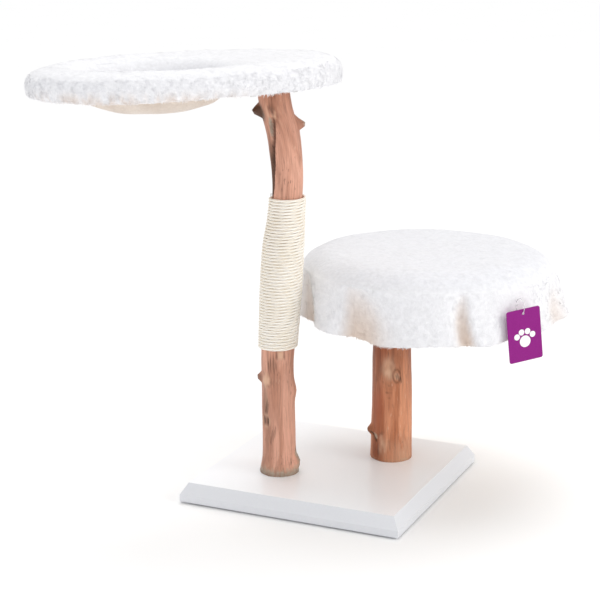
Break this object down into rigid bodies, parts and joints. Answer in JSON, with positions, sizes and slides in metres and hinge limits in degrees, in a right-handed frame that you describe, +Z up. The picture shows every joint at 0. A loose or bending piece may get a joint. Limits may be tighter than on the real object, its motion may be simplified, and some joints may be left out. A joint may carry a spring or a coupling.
{
  "type": "cat tree",
  "caption": "Cat tree on a square base: natural trunks carry an oval plush lounge with a slung bowl and a round seat under a draped plush cover; one trunk is wound with sisal for scratching.",
  "frame": {"origin": "centre of the square base plate, on the floor under its felt", "axes": "+X along the line from the tall trunk to the short one, which is the plate's diagonal; +Z up; the hang tag faces -Y"},
  "size_m": [0.9275, 0.5656, 0.755],
  "materials": {
    "white_lacquer": "satin white lacquer",
    "grey_felt": "matte",
    "natural_trunk": "satin",
    "insert_brass": "machined",
    "zinc_steel": "zinc plated",
    "sisal": "matte",
    "board": "matte",
    "foam": "matte",
    "cream_plush": "matte",
    "beige_suede": "matte",
    "clear_nylon": "gloss",
    "purple_card": "satin",
    "white_ink": "matte"
  },
  "bodies": {
    "tree": {"base_plate": "white_lacquer", "floor_felt": "grey_felt", "tall_trunk": "natural_trunk", "short_trunk": "natural_trunk", "trunk_inserts": "insert_brass", "base_bolts": "zinc_steel", "base_washers": "zinc_steel", "base_screws": "zinc_steel", "sisal_rope": "sisal", "rope_staples": "zinc_steel", "lounge_board": "board", "lounge_foam": "foam", "lounge_cover": "cream_plush", "lounge_bowl": "beige_suede", "bowl_staples": "zinc_steel", "cover_staples": "zinc_steel", "platform_bolts": "zinc_steel", "platform_washers": "zinc_steel", "platform_screws": "zinc_steel", "seat_board": "board", "seat_foam": "foam"},
    "cover": {"seat_cover": "cream_plush", "tag_barb": "clear_nylon"},
    "loop": {"tag_loop": "clear_nylon"},
    "tag": {"tag_card": "purple_card", "tag_print": "white_ink"}
  },
  "joints": [
    {"name": "cover_lift", "type": "slide", "parent": "tree", "child": "cover", "axis": [0, 0, 1], "range_m": [0, 0.13]},
    {"name": "tag_flap", "type": "hinge", "parent": "cover", "child": "loop", "pos_m": [0.24155, -0.21194, 0.3545], "axis": [-1, 0, 0], "range_deg": [0, 35]},
    {"name": "tag_swing", "type": "hinge", "parent": "loop", "child": "tag", "pos_m": [0.24155, -0.236, 0.3455], "axis": [0, 1, 0], "range_deg": [-30, 45]}
  ]
}
